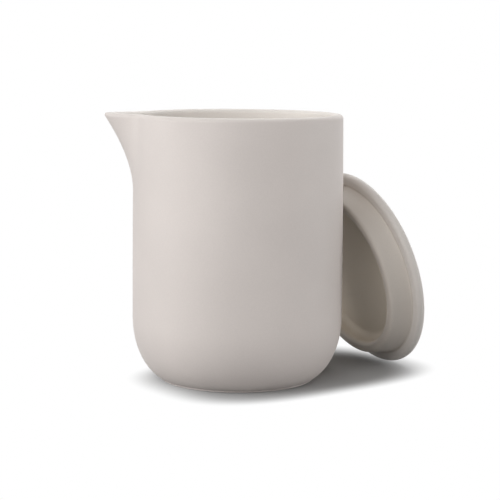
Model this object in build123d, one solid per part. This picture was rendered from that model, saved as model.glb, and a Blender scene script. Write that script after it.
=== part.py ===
from build123d import *
from math import asin, atan, cos, hypot, pi, radians, sin, sqrt, tan
import os

# Driving dimensions of the jug, in millimetres
JUG_HEIGHT = 133.5
BELLY_RADIUS = 53.0  # widest, just above the rounded bottom corner
RIM_DRAW = 0.8  # how much narrower the rim is than the belly
WALL = 4.5
LIP_FLAT = 0.5  # left level between the two rounds of the lip
FLOOR_THICKNESS = 5.2
CORNER_REACH = 20.2  # how far the bottom corner draws in, as a quarter ellipse
CORNER_RISE = 32.2

# Driving dimensions of the foot
FOOT_SETBACK = 13.6  # of the foot's edge from the belly
FOOT_STEP = 1.2  # how far the body stands out over its foot
FOOT_HEIGHT = 1.3
FOOT_RING_WIDTH = 5.0
FOOT_RECESS = 0.8
FOOT_ROUND = 0.35

# Driving dimensions of the spout
SPOUT_REACH = 15.6  # past the round wall, at the rim
SPOUT_RISE = 38.0  # height of the flare, measured down from the rim
SPOUT_SWELL = 1.7  # power of the flare: it starts flat on the wall and leans out ever more
SPOUT_SPREAD = radians(25.0)  # half the angle of the wall that the spout takes

# Driving dimensions of the lid
LID_OVERHANG = 0.1  # of the seated lid over the rim, all round
LID_THICKNESS = 4.6
LID_EDGE_FLAT = 0.04  # left upright between the two rounds of the edge
PLUG_CLEARANCE = 1.2  # all round, between the root of the lid's plug and the mouth
PLUG_DRAW = 3.3  # how much narrower the plug is at its rim than at its root
PLUG_DEPTH = 10.6
PLUG_RIM_WIDTH = 4.8
PLUG_RIM_FLAT = 0.4  # at least this much is left level between the two rounds of the plug's rim
ROOT_ROUND = 0.8
HOLLOW_DEPTH = 7.3
HOLLOW_UPRIGHT = 1.1  # left straight on the hollow's wall between its two rounds

# How the lid leans on the jug
LEAN_GAP = 0.3
LEAN_ANGLE = radians(15.0)  # away from upright
LEAN_HEADING = radians(27.7)  # of the lid's underside, turned from -X towards -Y
LEAN_BEARING = radians(28.75)  # of the point that the lid stands on, seen from the jug's axis

# Sizes that follow from those above
RIM_RADIUS = BELLY_RADIUS - RIM_DRAW
MOUTH_RADIUS = RIM_RADIUS - WALL
LIP_ROUND = (WALL - LIP_FLAT) / 2
LIP_START = JUG_HEIGHT - LIP_ROUND
SPOUT_START = JUG_HEIGHT - SPOUT_RISE
FOOT_RADIUS = BELLY_RADIUS - FOOT_SETBACK
CORNER_SHARE = sqrt(1 - (1 - (FOOT_SETBACK - FOOT_STEP) / CORNER_REACH) ** 2)
CORNER_TOP = FOOT_HEIGHT + CORNER_RISE * CORNER_SHARE
FLOOR_TOP = FOOT_HEIGHT + FLOOR_THICKNESS
LID_RADIUS = RIM_RADIUS + LID_OVERHANG
LID_ROUND = (LID_THICKNESS - LID_EDGE_FLAT) / 2
PLUG_RADIUS = MOUTH_RADIUS - PLUG_CLEARANCE
PLUG_RIM_RADIUS = PLUG_RADIUS - PLUG_DRAW
PLUG_RIM_CORNER = pi / 2 + atan(PLUG_DRAW / PLUG_DEPTH)
PLUG_ROUND = (PLUG_RIM_WIDTH - PLUG_RIM_FLAT) / 2
HOLLOW_ROUND = HOLLOW_DEPTH - PLUG_ROUND - HOLLOW_UPRIGHT

# How finely the curved forms are laid out
SPOUT_POINTS = 24  # of an outline, over the spout and a little past its sides
SPOUT_MARGIN = 1.2  # of the spout's spread, which those points take in
BACK_POINTS = 27  # of an outline, round the rest
CORNER_SECTIONS = 7
WALL_SECTIONS = 4
FLARE_SECTIONS = 8
LIP_SECTIONS = 4
LEAN_POINTS = 720
LEAN_STEPS = 40


def outside_radius(z):
    """Outside radius of the round body at height z, leaving the spout out."""
    if z < CORNER_TOP:
        drop = (CORNER_TOP - z) / CORNER_RISE
        return BELLY_RADIUS - CORNER_REACH * (1 - sqrt(1 - drop**2))
    climb = (z - CORNER_TOP) / (JUG_HEIGHT - CORNER_TOP)
    return BELLY_RADIUS - RIM_DRAW * climb**2


def inside_radius(z):
    """Inside radius at height z: the wall's thickness less, over a full quarter ellipse at the floor."""
    if z < CORNER_TOP:
        drop = (CORNER_TOP - z) / (CORNER_TOP - FLOOR_TOP)
        return BELLY_RADIUS - WALL - (CORNER_REACH - WALL) * (1 - sqrt(max(0, 1 - drop**2)))
    return outside_radius(z) - WALL


def spout_reach(z):
    """How far the spout's keel stands out of the round wall at height z."""
    return SPOUT_REACH * (max(0, z - SPOUT_START) / SPOUT_RISE) ** SPOUT_SWELL


def plan_point(turn, radius, reach, inset):
    """A point of the horizontal section at angle turn from the spout, moved in by inset square to the outline."""
    share = min(1, abs(turn) / SPOUT_SPREAD)
    r = radius + reach * (1 - share**2) ** 3
    slope = -6 * reach * share * (1 - share**2) ** 2 / SPOUT_SPREAD
    slope = slope if turn > 0 else -slope
    along = Vector(-cos(turn), -sin(turn))
    across = Vector(sin(turn), -cos(turn))
    outward = (along * r - across * slope).normalized()
    return along * r - outward * inset


def section_turns():
    """Angles of the outline's points, close together over the spout and wide apart round the back."""
    edge = SPOUT_SPREAD * SPOUT_MARGIN
    over = [edge * (2 * i / SPOUT_POINTS - 1) for i in range(SPOUT_POINTS + 1)]
    back = [edge + 2 * (pi - edge) * i / BACK_POINTS for i in range(1, BACK_POINTS)]
    return over + back


def section(z, radius, inset):
    """The closed outline of the body at height z."""
    turns = section_turns()
    points = [plan_point(t if t < pi else t - 2 * pi, radius, spout_reach(z), inset) for t in turns]
    knots = [(t - turns[0]) / (2 * pi) for t in turns] + [1.0]
    outline = Edge.make_spline([Vector(p.X, p.Y, z) for p in points], periodic=True, parameters=knots)
    return Wire([outline])


def corner_heights(rise, share):
    """Heights of the sections up the bottom corner, evenly spaced round its quarter ellipse."""
    turns = [asin(share) * i / CORNER_SECTIONS for i in range(CORNER_SECTIONS, 0, -1)]
    return [CORNER_TOP - rise * sin(turn) for turn in turns]


def wall_heights():
    """Heights of the sections from the top of the bottom corner to where the lip starts to round over."""
    plain = [CORNER_TOP + (SPOUT_START - CORNER_TOP) * i / WALL_SECTIONS for i in range(WALL_SECTIONS)]
    flared = [SPOUT_START + (LIP_START - SPOUT_START) * i / FLARE_SECTIONS for i in range(FLARE_SECTIONS + 1)]
    return plain + flared


def lip_sections(side):
    """Outlines round a quarter turn of the lip, on its outer side (1) or its inner side (-1)."""
    outlines = []
    for i in range(LIP_SECTIONS + 1):
        turn = pi / 2 * i / LIP_SECTIONS
        z = LIP_START + LIP_ROUND * sin(turn)
        step = LIP_ROUND * (1 - cos(turn))
        outlines.append(section(z, outside_radius(z), step if side > 0 else WALL - step))
    return outlines


def make_outside():
    """The jug's outer form above its foot."""
    heights = corner_heights(CORNER_RISE, CORNER_SHARE) + wall_heights()
    wall = Solid.make_loft([section(z, outside_radius(z), 0) for z in heights])
    return Part() + wall + Solid.make_loft(lip_sections(1))


def make_inside():
    """The space inside the jug: the well, and the part of it that opens out through the lip."""
    heights = [FLOOR_TOP] + corner_heights(CORNER_TOP - FLOOR_TOP, 1)[1:] + wall_heights()
    well = Solid.make_loft([section(z, inside_radius(z) + WALL, WALL) for z in heights])
    return well, Solid.make_loft(lip_sections(-1))


def make_foot():
    """The short foot, with a shallow recess inside its ring."""
    standing = (Align.CENTER, Align.CENTER, Align.MIN)
    foot = Cylinder(FOOT_RADIUS, FOOT_HEIGHT + FLOOR_THICKNESS / 2, align=standing)
    foot = foot - Cylinder(FOOT_RADIUS - FOOT_RING_WIDTH, FOOT_RECESS, align=standing)
    ring_edges = foot.edges().filter_by(GeomType.CIRCLE).group_by(Axis.Z)[0]
    return fillet(ring_edges, FOOT_ROUND)


def make_jug():
    """The jug in one piece: rounded bottom, nearly straight wall, and a beak of a spout on the -X side."""
    well, lip_opening = make_inside()
    return make_outside() + make_foot() - well - lip_opening


def make_lid():
    """The lid about its own axis, seated way up, with the underside of its flange at z = 0."""
    hollow_radius = PLUG_RIM_RADIUS - PLUG_RIM_WIDTH
    hollow_top = HOLLOW_DEPTH - PLUG_DEPTH
    outline = FilletPolyline(
        (0, 0, LID_THICKNESS),
        (LID_RADIUS, 0, LID_THICKNESS),
        (LID_RADIUS, 0, 0),
        (PLUG_RADIUS, 0, 0),
        (PLUG_RIM_RADIUS, 0, -PLUG_DEPTH),
        (hollow_radius, 0, -PLUG_DEPTH),
        (hollow_radius, 0, hollow_top),
        (0, 0, hollow_top),
        radius=[LID_ROUND, LID_ROUND, ROOT_ROUND, PLUG_ROUND, PLUG_ROUND, HOLLOW_ROUND],
    )
    half = make_face(outline.edges() + [Edge.make_line((0, 0, hollow_top), (0, 0, LID_THICKNESS))])
    return revolve(half, Axis.Z, 360)


def lean_plane(distance):
    """The lid's own plane when it stands on the table this far from the jug's axis, leaning on the jug."""
    facing = Vector(-cos(LEAN_HEADING), -sin(LEAN_HEADING), 0)
    up = Vector(0, 0, 1)
    underside = facing * cos(LEAN_ANGLE) - up * sin(LEAN_ANGLE)
    climb = facing * sin(LEAN_ANGLE) + up * cos(LEAN_ANGLE)
    foot = Vector(cos(LEAN_BEARING), sin(LEAN_BEARING), 0) * distance
    edge_centre = foot + up * LID_ROUND
    middle = edge_centre + climb * (LID_RADIUS - LID_ROUND) + underside * LID_ROUND
    return Plane(origin=middle, x_dir=climb.cross(underside), z_dir=-underside)


def ring_gap(plane, radius, depth, tube):
    """The least distance from a rounded ring about the lid's axis to the jug's wall."""
    gaps = []
    for i in range(LEAN_POINTS):
        turn = 2 * pi * i / LEAN_POINTS
        point = plane.from_local_coords(Vector(radius * cos(turn), radius * sin(turn), -depth))
        if point.Z < JUG_HEIGHT:
            gaps.append(hypot(point.X, point.Y) - outside_radius(max(FOOT_HEIGHT, point.Z)) - tube)
    return min(gaps)


def lean_gap(distance):
    """The gap between the leaning lid and the jug, at the plug's rim or at the flange's edge."""
    plane = lean_plane(distance)
    rim_centre = PLUG_RIM_RADIUS - PLUG_ROUND / tan(PLUG_RIM_CORNER / 2)
    plug_gap = ring_gap(plane, rim_centre, PLUG_DEPTH - PLUG_ROUND, PLUG_ROUND)
    edge_gap = ring_gap(plane, LID_RADIUS - LID_ROUND, -LID_ROUND, LID_ROUND)
    return min(plug_gap, edge_gap)


def lean_distance():
    """How far from the jug's axis the lid stands, so that it leans LEAN_GAP clear of the wall."""
    near = BELLY_RADIUS
    far = BELLY_RADIUS + 2 * LID_RADIUS
    for _ in range(LEAN_STEPS):
        middle = (near + far) / 2
        if lean_gap(middle) < LEAN_GAP:
            near = middle
        else:
            far = middle
    return far


jug = make_jug()
lid = lean_plane(lean_distance()).location * make_lid()

os.makedirs("parts", exist_ok=True)
export_step(jug, "parts/jug.step")
export_step(lid, "parts/lid.step")
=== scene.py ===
from math import cos, pi, radians, sin

import bpy
import numpy as np
from mathutils import Matrix, Vector


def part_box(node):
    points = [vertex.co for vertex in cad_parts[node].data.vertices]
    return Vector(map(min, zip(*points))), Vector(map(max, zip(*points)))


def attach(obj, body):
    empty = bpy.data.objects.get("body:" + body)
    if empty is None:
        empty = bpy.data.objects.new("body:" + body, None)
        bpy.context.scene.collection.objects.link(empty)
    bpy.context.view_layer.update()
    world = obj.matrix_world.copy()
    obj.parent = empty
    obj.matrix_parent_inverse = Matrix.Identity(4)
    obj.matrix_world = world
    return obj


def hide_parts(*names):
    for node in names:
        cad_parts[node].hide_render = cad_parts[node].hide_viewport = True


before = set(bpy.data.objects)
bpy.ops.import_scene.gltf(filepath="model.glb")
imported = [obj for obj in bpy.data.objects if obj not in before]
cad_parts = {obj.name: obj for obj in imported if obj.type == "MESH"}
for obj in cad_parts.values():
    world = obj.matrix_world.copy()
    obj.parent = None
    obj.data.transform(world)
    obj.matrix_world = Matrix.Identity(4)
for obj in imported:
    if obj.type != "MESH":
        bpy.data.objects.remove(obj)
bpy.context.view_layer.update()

# ---------------------------------------------------------------- sizes, in metres

MM = 0.001

# The jug. Its height and its width come from its CAD node.
JUG_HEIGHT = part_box("jug")[1].z
BELLY_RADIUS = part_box("jug")[1].y
RIM_DRAW = 0.8 * MM  # how much narrower the rim is than the belly
WALL = 4.5 * MM
LIP_RISE = 2.0 * MM  # height of the rounded lip
CORNER_REACH = 20.2 * MM  # how far the bottom corner draws in, as a quarter ellipse
CORNER_RISE = 32.2 * MM
CORNER_TOP = 31.0 * MM  # where the bottom corner meets the wall
FLOOR_TOP = 6.5 * MM
FOOT_RADIUS = 39.4 * MM
FOOT_HEIGHT = 1.3 * MM
FOOT_RING_WIDTH = 5.0 * MM
FOOT_RECESS = 0.8 * MM
FOOT_ROUND = 0.35 * MM

# The spout
SPOUT_REACH = 15.58 * MM  # past the round wall, at the rim
SPOUT_RISE = 38.0 * MM  # height of the flare, measured down from the rim
SPOUT_SWELL = 1.7  # power of the flare: it starts flat on the wall and leans out ever more
SPOUT_SPREAD = radians(25.0)  # half the angle of the wall that the spout takes
SPOUT_START = JUG_HEIGHT - SPOUT_RISE

# The lid
LID_RADIUS = 52.3 * MM
LID_THICKNESS = 4.6 * MM
PLUG_RADIUS = 46.5 * MM  # at its root
PLUG_DRAW = 3.3 * MM  # how much narrower the plug is at its rim than at its root
PLUG_DEPTH = 10.6 * MM
PLUG_RIM_WIDTH = 5.3 * MM
PLUG_ROUND = 2.2 * MM
ROOT_ROUND = 0.8 * MM
HOLLOW_DEPTH = 7.3 * MM
HOLLOW_ROUND = 4.0 * MM

# The clay's colour, with painted light and shade in it: outside, over the edge into the hollow, and inside
# On the jug the lip's tone is darker than the clay, a painted shade, and the inside's is lighter, painted
# light
JUG_CLAY_AND_PAINTED_LIGHT = (0.700, 0.642, 0.609), (0.665, 0.620, 0.585), (0.800, 0.755, 0.710)
# On the lid the plug's tone is darker than the clay, a painted shade, and the hollow's is warmer, painted
# warm bounce light
LID_CLAY_AND_PAINTED_LIGHT = (0.668, 0.628, 0.590), (0.580, 0.530, 0.478), (0.680, 0.608, 0.510)

# Its finish. A scale is how many waves of a pattern go to the metre.
CLOUD_SCALE = 22
CLOUD_TONES = (0.975, 1.02)
SPECK_SCALE = 1400
SPECK_DETAIL = 2
SPECK_HARSHNESS = 0.6
SPECK_TONES = (0.985, 1.012)
SHEEN_SCALE = 180
SHEEN_ROUGHNESS = (0.51, 0.59)
GRAIN_SCALE = 900
GRAIN_HEIGHT = 0.04 * MM
GRAIN_STRENGTH = 0.25
GLAZE_IOR = 1.45
NOISE_SPAN = (0.35, 0.65)  # most of a noise lies between these

# The stage
FLOOR_SIZE = 30.0
# A painted shadow: the camera sees the table in this dark grey close to the object, over the real shadow
FLOOR_PAINTED_SHADOW = (0.40, 0.40, 0.40)  # close to the object, where its shadow lies
FLOOR_BOUNCE = (0.45, 0.45, 0.45)  # for the light that the table throws back
# The outline of the painted shadow on the table: its middle, turn, length and width, and where it fades
SHADE_CENTRE = (0.0268, 0.0025, 0)
SHADE_TURN = radians(36.3)
SHADE_LENGTH = 0.0698
SHADE_WIDTH = 0.0427
SHADE_BACK = 0.80  # less than 1, so that the shade reaches further on the far side
SHADE_POWER = 3
SHADE_INNER = 0.725
SHADE_OUTER = 1.173

# Lamps: bearing and height above the table in degrees, diameter in metres, watts
LAMP_DISTANCE = 1.5
LAMP_TARGET = (0.02, 0.01, 0.06)
LAMPS = {
    "front_left": (225, 30, 1.2, 12.0),
    "front": (270, 30, 1.2, 5.8),
    "front_high": (270, 55, 1.2, 1.2),
    "overhead": (90, 55, 1.2, 11.4),
    "left": (180, 8, 0.7, 6.2),
    "right": (0, 8, 0.7, 7.9),
    "back_right": (45, 8, 0.7, 1.0),
    "back_right_high": (45, 30, 1.2, 2.8),
}

# The camera: its lens and sensor in millimetres, and its turns in radians
CAMERA_PLACE = (0, -0.760, 0.1702)
CAMERA_LENS = 109.24
CAMERA_SENSOR = 36.0
CAMERA_REACH = 100
CAMERA_PITCH = 0.138  # downwards
CAMERA_PAN = 0.0082  # to the right
CAMERA_ROLL = 0.0081  # with its right side raised

# How finely the surfaces are laid out
SPOUT_COLUMNS = 96
SPOUT_MARGIN = 1.25  # of the spout's spread, which those columns take in
BACK_COLUMNS = 160
CORNER_ROWS = 26
WALL_ROWS = 12
FLARE_ROWS = 36
LIP_ROWS = 25
WELL_ROWS = 20
FLOOR_ROWS = 9
LID_COLUMNS = 288


# ---------------------------------------------------------------- surfaces on a grid


def skin(name, rows, inside, first_pole, last_pole):
    """A closed surface on a grid: rows[i, j] is the point in row i and column j, every row is a closed ring,
    and each end ring is gathered into its pole. inside[i] says how far row i lies in the hollow, from 0 to 1.
    The first pole lies outside it and the last one in it."""
    count, columns = rows.shape[:2]
    points = np.vstack([rows.reshape(-1, 3), first_pole, last_pole])
    i, j = np.meshgrid(np.arange(count - 1), np.arange(columns), indexing="ij")
    k = (j + 1) % columns
    quads = np.stack([i * columns + j, i * columns + k, (i + 1) * columns + k, (i + 1) * columns + j], -1)
    ring = np.arange(columns)
    after = (ring + 1) % columns
    first = np.stack([after, ring, np.full(columns, count * columns)], -1)
    base = (count - 1) * columns
    last = np.stack([base + ring, base + after, np.full(columns, count * columns + 1)], -1)
    mesh = bpy.data.meshes.new(name)
    mesh.from_pydata(points.tolist(), [], quads.reshape(-1, 4).tolist() + first.tolist() + last.tolist())
    mesh.polygons.foreach_set("use_smooth", np.ones(len(mesh.polygons), bool))
    # This share picks each point's tone, and with it the painted light and shade
    hollow = mesh.attributes.new("inside", "FLOAT", "POINT")
    hollow.data.foreach_set("value", np.append(np.repeat(inside, columns), (0, 1)).astype(np.float32))
    mesh.update()
    piece = bpy.data.objects.new(name, mesh)
    bpy.context.scene.collection.objects.link(piece)
    return piece


def arc(centre, radius, start, stop, steps):
    """Points (out, up) round a circular arc from angle start to angle stop, both in degrees from the outward
    direction."""
    angles = np.radians(np.linspace(start, stop, steps))
    return np.stack([centre[0] + radius * np.cos(angles), centre[1] + radius * np.sin(angles)], -1)


def run(start, stop, steps):
    """Points (out, up) along a straight line, without its two ends."""
    share = np.linspace(0, 1, steps + 2)[1:-1, None]
    return np.array(start) * (1 - share) + np.array(stop) * share


def outside_radius(z):
    """Outside radius of the jug at height z, without the spout: a quarter ellipse at the bottom corner, then
    a wall that draws in towards the rim with the square of the height."""
    drop = np.clip((CORNER_TOP - z) / CORNER_RISE, 0, 1)
    climb = np.clip((z - CORNER_TOP) / (JUG_HEIGHT - CORNER_TOP), 0, 1)
    return BELLY_RADIUS - CORNER_REACH * (1 - np.sqrt(1 - drop**2)) - RIM_DRAW * climb**2


def inside_radius(z):
    """Inside radius of the jug at height z: the wall less, and a full quarter ellipse down to the floor."""
    drop = np.clip((CORNER_TOP - z) / (CORNER_TOP - FLOOR_TOP), 0, 1)
    corner = (CORNER_REACH - WALL) * (1 - np.sqrt(1 - drop**2))
    return np.where(z < CORNER_TOP, BELLY_RADIUS - corner, outside_radius(z)) - WALL


def foot_profile():
    """Points (out, up) from the middle of the underside, over the foot ring, to where the body begins."""
    ring_in = FOOT_RADIUS - FOOT_RING_WIDTH
    soft = FOOT_ROUND
    body = outside_radius(FOOT_HEIGHT)
    return np.vstack([
        run((0, FOOT_RECESS), (ring_in - soft, FOOT_RECESS), 8),
        arc((ring_in - soft, FOOT_RECESS - soft), soft, 90, 0, 5),
        arc((ring_in + soft, soft), soft, 180, 270, 5),
        run((ring_in + soft, 0), (FOOT_RADIUS - soft, 0), 4),
        arc((FOOT_RADIUS - soft, soft), soft, -90, 0, 6),
        arc((FOOT_RADIUS + soft, FOOT_HEIGHT - soft), soft, 180, 90, 6),
        run((FOOT_RADIUS + soft, FOOT_HEIGHT), (body, FOOT_HEIGHT), 2),
    ])


def jug_rows():
    """Height, round radius, inset and share inside of every row of the jug's skin, from the middle of its
    underside, up the outside, over the lip, and down the inside to the middle of its floor."""
    foot = foot_profile()
    low = np.arcsin((CORNER_TOP - FOOT_HEIGHT) / CORNER_RISE)
    corner = CORNER_TOP - CORNER_RISE * np.sin(np.linspace(low, 0, CORNER_ROWS))
    plain = np.linspace(CORNER_TOP, SPOUT_START, WALL_ROWS)[1:]
    flare = np.linspace(SPOUT_START, JUG_HEIGHT - LIP_RISE, FLARE_ROWS)[1:]
    outside = np.concatenate([corner, plain, flare])
    over = np.linspace(0, pi, LIP_ROWS)[1:-1]
    lip = JUG_HEIGHT - LIP_RISE + LIP_RISE * np.sin(over)
    inside = np.concatenate([flare[::-1], plain[::-1]])
    well = CORNER_TOP - (CORNER_TOP - FLOOR_TOP) * np.sin(np.linspace(0, pi / 2, WELL_ROWS))
    floor = inside_radius(FLOOR_TOP) * np.linspace(1, 0, FLOOR_ROWS)[1:-1]
    z = np.concatenate([foot[:, 1], outside, lip, inside, well, np.full(len(floor), FLOOR_TOP)])
    radius = np.concatenate([
        foot[:, 0],
        outside_radius(outside),
        outside_radius(lip),
        inside_radius(inside) + WALL,
        inside_radius(well) + WALL,
        floor,
    ])
    inset = np.concatenate([
        np.zeros(len(foot) + len(outside)),
        WALL / 2 * (1 - np.cos(over)),
        np.full(len(inside) + len(well), WALL),
        np.zeros(len(floor)),
    ])
    share = np.append(inset[:-len(floor)] / WALL, np.ones(len(floor)))
    return z, radius, inset, share


def spout_turns():
    """Angles of the columns, from the spout's middle: close together over the spout, wider round the back."""
    edge = SPOUT_SPREAD * SPOUT_MARGIN
    over = np.linspace(-edge, edge, SPOUT_COLUMNS, endpoint=False)
    back = np.linspace(edge, 2 * pi - edge, BACK_COLUMNS, endpoint=False)
    return np.concatenate([over, (back + pi) % (2 * pi) - pi])


def make_jug():
    """The jug's skin. At height z the outline is a circle with the spout added on it as a bump,
    reach(z) * (1 - share**2)**3. There share runs from 0 at the spout's middle to 1 at its sides, and
    reach(z) grows from the foot of the spout with the power SPOUT_SWELL. The inset is measured square to
    the outline."""
    z, radius, inset, inside = (column[:, None] for column in jug_rows())
    turn = spout_turns()[None, :]
    reach = SPOUT_REACH * (np.clip(z - SPOUT_START, 0, None) / SPOUT_RISE) ** SPOUT_SWELL
    share = np.clip(np.abs(turn) / SPOUT_SPREAD, 0, 1)
    r = radius + reach * (1 - share**2) ** 3
    slope = -6 * reach * share * (1 - share**2) ** 2 / SPOUT_SPREAD * np.sign(turn)
    along = np.stack([-np.cos(turn), -np.sin(turn)], -1)
    across = np.stack([np.sin(turn), -np.cos(turn)], -1)
    outward = along * r[..., None] - across * slope[..., None]
    outward /= np.linalg.norm(outward, axis=-1, keepdims=True)
    flat = along * r[..., None] - outward * inset[..., None]
    rows = np.concatenate([flat, np.broadcast_to(z[..., None], flat.shape[:2] + (1,))], -1)
    return skin("jug_body", rows, inside, [[0, 0, FOOT_RECESS]], [[0, 0, FLOOR_TOP]])


def lid_profile():
    """Points (out, up) of the lid from the middle of its outer face, round its edge and its plug, to the
    middle of the hollow, and the share inside of each, which picks its tone: the plug's half share paints
    shade on it, and the hollow's share, rising to 1, paints warm bounce light in it. Up is towards the outer
    face, and the flange's underside is at height 0. The plug is a cone, so the round at its root and the one
    on its outer edge are less than a quarter turn."""
    edge = LID_THICKNESS / 2
    taper = np.arctan2(PLUG_DRAW, PLUG_DEPTH)
    lean = np.degrees(taper)
    tangent = np.tan((pi / 2 + taper) / 2)
    tip = PLUG_RADIUS - PLUG_DRAW
    root_centre = PLUG_RADIUS + ROOT_ROUND / tangent
    root_end = arc((root_centre, -ROOT_ROUND), ROOT_ROUND, 90, 180 - lean, 9)
    tip_end = arc((tip - PLUG_ROUND / tangent, PLUG_ROUND - PLUG_DEPTH), PLUG_ROUND, -lean, -90, 11)
    wall = tip - PLUG_RIM_WIDTH
    wall_start = PLUG_ROUND - PLUG_DEPTH
    floor = HOLLOW_DEPTH - PLUG_DEPTH
    flange = np.vstack([
        run((0, LID_THICKNESS), (LID_RADIUS - edge, LID_THICKNESS), 12),
        arc((LID_RADIUS - edge, edge), edge, 90, -90, 19),
        run((LID_RADIUS - edge, 0), (root_centre, 0), 3),
    ])
    plug = np.vstack([
        root_end,
        run(root_end[-1], tip_end[0], 6),
        tip_end,
        run(tip_end[-1], (wall + PLUG_ROUND, -PLUG_DEPTH), 1),
    ])
    hollow = np.vstack([
        arc((wall + PLUG_ROUND, wall_start), PLUG_ROUND, -90, -180, 11),
        run((wall, wall_start), (wall, floor - HOLLOW_ROUND), 2),
        arc((wall - HOLLOW_ROUND, floor - HOLLOW_ROUND), HOLLOW_ROUND, 0, 90, 11),
        run((wall - HOLLOW_ROUND, floor), (0, floor), 10),
    ])
    depth = np.clip((hollow[:, 1] + PLUG_DEPTH) / PLUG_ROUND, 0, 1)
    # The plug takes the middle tone, a painted shade, and the hollow runs on to the inside tone, painted warm
    # bounce light
    inside = np.concatenate([np.zeros(len(flange)), np.full(len(plug), 0.5), (1 + depth) / 2])
    return np.vstack([flange, plug, hollow]), inside


def lid_place():
    """The lid's own directions and the middle of its flange's underside, read from its CAD node: the largest
    triangle lies on a flat face, so its normal is the lid's axis, and the outer face is the far end of it."""
    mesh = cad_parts["lid"].data
    points = np.empty(len(mesh.vertices) * 3)
    mesh.vertices.foreach_get("co", points)
    points = points.reshape(-1, 3)
    sizes = np.empty(len(mesh.polygons))
    mesh.polygons.foreach_get("area", sizes)
    axis = np.array(mesh.polygons[int(sizes.argmax())].normal, float)
    axis *= np.sign(axis[0])
    side = np.cross([0, 0, 1], axis)
    side /= np.linalg.norm(side)
    climb = np.cross(axis, side)
    local = points @ np.stack([side, climb, axis], -1)
    middle = (local.min(0) + local.max(0)) / 2
    middle[2] = local[:, 2].max() - LID_THICKNESS
    return side, climb, axis, middle[0] * side + middle[1] * climb + middle[2] * axis


def make_lid():
    """The lid's skin: its profile turned about its axis, in the lid's own place."""
    side, climb, axis, middle = lid_place()
    profile, inside = lid_profile()
    turn = np.linspace(0, 2 * pi, LID_COLUMNS, endpoint=False)
    spoke = np.cos(turn)[:, None] * side + np.sin(turn)[:, None] * climb
    rows = middle + profile[:, 0, None, None] * spoke + profile[:, 1, None, None] * axis
    top = middle + LID_THICKNESS * axis
    bottom = middle + (HOLLOW_DEPTH - PLUG_DEPTH) * axis
    return skin("lid_body", rows, inside, [top], [bottom])


# ---------------------------------------------------------------- materials


class Nodes:
    """The node tree of a material or a world, emptied, with short ways to add nodes to it and link them."""

    def __init__(self, owner):
        owner.use_nodes = True
        self.tree = owner.node_tree
        self.tree.nodes.clear()

    def add(self, kind, **settings):
        node = self.tree.nodes.new(kind)
        for key, value in settings.items():
            setattr(node, key, value)
        return node

    def link(self, source, target):
        self.tree.links.new(source, target)


def noise(build, coordinates, scale, detail=3, roughness=0.5):
    """A cloudy pattern about 0.5 with this many waves to the metre."""
    node = build.add("ShaderNodeTexNoise")
    node.inputs["Scale"].default_value = scale
    node.inputs["Detail"].default_value = detail
    node.inputs["Roughness"].default_value = roughness
    build.link(coordinates, node.inputs["Vector"])
    return node.outputs["Fac"]


def spread(build, source, low, high):
    """Maps the span of a noise to low and high."""
    node = build.add("ShaderNodeMapRange")
    for key, value in zip(("From Min", "From Max", "To Min", "To Max"), (*NOISE_SPAN, low, high)):
        node.inputs[key].default_value = value
    build.link(source, node.inputs["Value"])
    return node.outputs["Result"]


def ceramic(name, clay_and_painted_light):
    """Smooth matt ceramic: a pale warm colour outside, and on the way in and inside tones that paint light
    and shade, picked by the share inside, with faint clouding and fine specks, a sheen that varies a little,
    and a very fine grain."""
    material = bpy.data.materials.new(name)
    build = Nodes(material)
    place = build.add("ShaderNodeTexCoord").outputs["Object"]
    shader = build.add("ShaderNodeBsdfPrincipled")
    output = build.add("ShaderNodeOutputMaterial")
    build.link(shader.outputs["BSDF"], output.inputs["Surface"])
    clouds = spread(build, noise(build, place, CLOUD_SCALE), *CLOUD_TONES)
    specks = spread(build, noise(build, place, SPECK_SCALE, SPECK_DETAIL, SPECK_HARSHNESS), *SPECK_TONES)
    tone = build.add("ShaderNodeMath", operation="MULTIPLY")
    build.link(clouds, tone.inputs[0])
    build.link(specks, tone.inputs[1])
    # The ramp runs from the clay's colour outside over the edge to inside, and its two inner tones are
    # painted light and shade
    body = build.add("ShaderNodeValToRGB")
    body.color_ramp.elements.new(0.5)
    for stop, colour in zip(body.color_ramp.elements, clay_and_painted_light):
        stop.color = (*colour, 1)
    hollow = build.add("ShaderNodeAttribute", attribute_name="inside")
    build.link(hollow.outputs["Fac"], body.inputs["Fac"])
    tint = build.add("ShaderNodeVectorMath", operation="SCALE")
    build.link(body.outputs["Color"], tint.inputs[0])
    build.link(tone.outputs[0], tint.inputs["Scale"])
    build.link(tint.outputs[0], shader.inputs["Base Color"])
    sheen = spread(build, noise(build, place, SHEEN_SCALE), *SHEEN_ROUGHNESS)
    build.link(sheen, shader.inputs["Roughness"])
    shader.inputs["IOR"].default_value = GLAZE_IOR
    grain = build.add("ShaderNodeBump")
    grain.inputs["Strength"].default_value = GRAIN_STRENGTH
    grain.inputs["Distance"].default_value = GRAIN_HEIGHT
    build.link(noise(build, place, GRAIN_SCALE), grain.inputs["Height"])
    build.link(grain.outputs["Normal"], shader.inputs["Normal"])
    return material


# ---------------------------------------------------------------- stage, light and camera


def seen_directly(build):
    """1 for what the camera sees, straight, in a gloss or through glass, and 0 for light on its way round."""
    rays = build.add("ShaderNodeLightPath")
    glossy = build.add("ShaderNodeMath", operation="MAXIMUM")
    build.link(rays.outputs["Is Camera Ray"], glossy.inputs[0])
    build.link(rays.outputs["Is Glossy Ray"], glossy.inputs[1])
    through = build.add("ShaderNodeMath", operation="MAXIMUM")
    build.link(glossy.outputs[0], through.inputs[0])
    build.link(rays.outputs["Is Transmission Ray"], through.inputs[1])
    return through.outputs[0]


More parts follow.
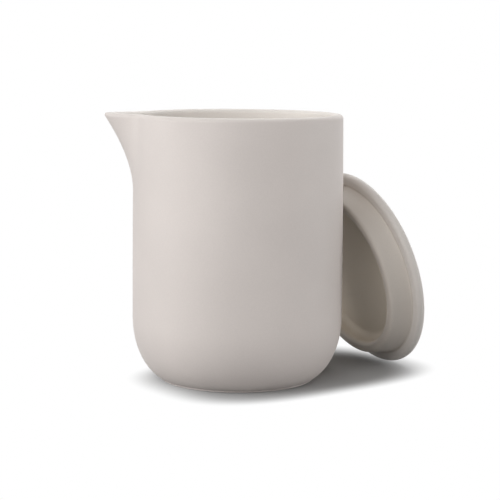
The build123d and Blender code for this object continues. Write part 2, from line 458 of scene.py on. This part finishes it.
def away_from_footprint(build):
    """0 on the table near the object, where the camera sees the grey of the painted shadow, and 1 away from
    it:
    a smooth step of |u|**3 + |v|**3, where 3 is SHADE_POWER, from SHADE_INNER**3 to SHADE_OUTER**3. u and v
    run along and across a line from the jug to the lid and are 1 at SHADE_LENGTH and SHADE_WIDTH. Behind that
    line only SHADE_BACK of v counts."""
    place = build.add("ShaderNodeMapping", vector_type="TEXTURE")
    place.inputs["Location"].default_value = SHADE_CENTRE
    place.inputs["Rotation"].default_value = (0, 0, SHADE_TURN)
    place.inputs["Scale"].default_value = (SHADE_LENGTH, SHADE_WIDTH, 1)
    build.link(build.add("ShaderNodeTexCoord").outputs["Object"], place.inputs["Vector"])
    parts = build.add("ShaderNodeSeparateXYZ")
    build.link(place.outputs["Vector"], parts.inputs[0])
    total = build.add("ShaderNodeMath", operation="ADD")
    for socket, axis, slope in zip(total.inputs, "XY", (1, SHADE_BACK)):
        either = build.add("ShaderNodeMath", operation="MAXIMUM")
        for side, share in zip(either.inputs, (slope, -1)):
            reach = build.add("ShaderNodeMath", operation="MULTIPLY")
            reach.inputs[1].default_value = share
            build.link(parts.outputs[axis], reach.inputs[0])
            build.link(reach.outputs[0], side)
        power = build.add("ShaderNodeMath", operation="POWER")
        power.inputs[1].default_value = SHADE_POWER
        build.link(either.outputs[0], power.inputs[0])
        build.link(power.outputs[0], socket)
    fade = build.add("ShaderNodeMapRange", interpolation_type="SMOOTHSTEP")
    fade.inputs["From Min"].default_value = SHADE_INNER**SHADE_POWER
    fade.inputs["From Max"].default_value = SHADE_OUTER**SHADE_POWER
    build.link(total.outputs[0], fade.inputs["Value"])
    return fade.outputs["Result"]


def make_floor():
    """A matt table top. It keeps the shadow of what stands on it; close to the object the camera sees it in
    the dark grey of a painted shadow, and all round it fades to white.
    """
    material = bpy.data.materials.new("floor_white_painted_shadow")
    build = Nodes(material)
    output = build.add("ShaderNodeOutputMaterial")
    matt = build.add("ShaderNodeBsdfDiffuse")
    white = build.add("ShaderNodeEmission")
    seen = seen_directly(build)
    tone = build.add("ShaderNodeMix", data_type="RGBA")
    tone.inputs["A"].default_value = (*FLOOR_BOUNCE, 1)
    tone.inputs["B"].default_value = (*FLOOR_PAINTED_SHADOW, 1)
    build.link(seen, tone.inputs["Factor"])
    build.link(tone.outputs["Result"], matt.inputs["Color"])
    # The camera sees white away from the object and the painted shadow's grey close to it
    open_floor = build.add("ShaderNodeMath", operation="MULTIPLY")
    build.link(seen, open_floor.inputs[0])
    build.link(away_from_footprint(build), open_floor.inputs[1])
    mix = build.add("ShaderNodeMixShader")
    build.link(open_floor.outputs[0], mix.inputs["Fac"])
    build.link(matt.outputs[0], mix.inputs[1])
    build.link(white.outputs[0], mix.inputs[2])
    build.link(mix.outputs[0], output.inputs["Surface"])
    mesh = bpy.data.meshes.new("floor")
    corners = [(-FLOOR_SIZE, -FLOOR_SIZE, 0), (FLOOR_SIZE, -FLOOR_SIZE, 0)]
    corners += [(FLOOR_SIZE, FLOOR_SIZE, 0), (-FLOOR_SIZE, FLOOR_SIZE, 0)]
    mesh.from_pydata(corners, [], [(0, 1, 2, 3)])
    floor = bpy.data.objects.new("floor", mesh)
    bpy.context.scene.collection.objects.link(floor)
    mesh.materials.append(material)


def make_world():
    """White all round for the camera; the lamps give the light."""
    world = bpy.data.worlds.new("studio")
    bpy.context.scene.world = world
    build = Nodes(world)
    output = build.add("ShaderNodeOutputWorld")
    white = build.add("ShaderNodeBackground")
    white.inputs["Color"].default_value = (1, 1, 1, 1)
    build.link(seen_directly(build), white.inputs["Strength"])
    build.link(white.outputs[0], output.inputs["Surface"])


def make_lamps():
    """Soft round lamps on a sphere about the object, all turned to its middle."""
    for name, (bearing, height, size, watts) in LAMPS.items():
        lamp = bpy.data.objects.new(name, bpy.data.lights.new(name, "AREA"))
        bpy.context.scene.collection.objects.link(lamp)
        lamp.data.shape = "DISK"
        lamp.data.size = size
        lamp.data.energy = watts
        level = cos(radians(height))
        out = Vector((level * cos(radians(bearing)), level * sin(radians(bearing)), sin(radians(height))))
        lamp.location = Vector(LAMP_TARGET) + out * LAMP_DISTANCE
        lamp.rotation_euler = (-out).to_track_quat("-Z", "Y").to_euler()


def make_camera():
    """A long lens a little above the jug's rim, looking slightly down."""
    camera = bpy.data.objects.new("camera", bpy.data.cameras.new("camera"))
    bpy.context.scene.collection.objects.link(camera)
    camera.data.sensor_width = CAMERA_SENSOR
    camera.data.lens = CAMERA_LENS
    camera.data.clip_end = CAMERA_REACH
    ahead = cos(CAMERA_PITCH)
    forward = Vector((sin(CAMERA_PAN) * ahead, cos(CAMERA_PAN) * ahead, -sin(CAMERA_PITCH)))
    level = Vector((cos(CAMERA_PAN), -sin(CAMERA_PAN), 0))
    upward = level.cross(forward)
    right = level * cos(CAMERA_ROLL) + upward * sin(CAMERA_ROLL)
    up = upward * cos(CAMERA_ROLL) - level * sin(CAMERA_ROLL)
    turn = Matrix((right, up, -forward)).transposed().to_4x4()
    camera.matrix_world = Matrix.Translation(CAMERA_PLACE) @ turn
    bpy.context.scene.camera = camera


# ---------------------------------------------------------------- assembly

jug_body = make_jug()
# Its tones paint shade on the lip and light inside the jug
jug_body.data.materials.append(ceramic("jug_ceramic", JUG_CLAY_AND_PAINTED_LIGHT))
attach(jug_body, "jug")
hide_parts("jug")

lid_body = make_lid()
# Its tones paint shade on the plug and warm bounce light in the hollow
lid_body.data.materials.append(ceramic("lid_ceramic", LID_CLAY_AND_PAINTED_LIGHT))
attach(lid_body, "lid")
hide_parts("lid")

make_floor()
make_world()
make_lamps()
make_camera()
bpy.context.scene.view_settings.view_transform = "Standard"
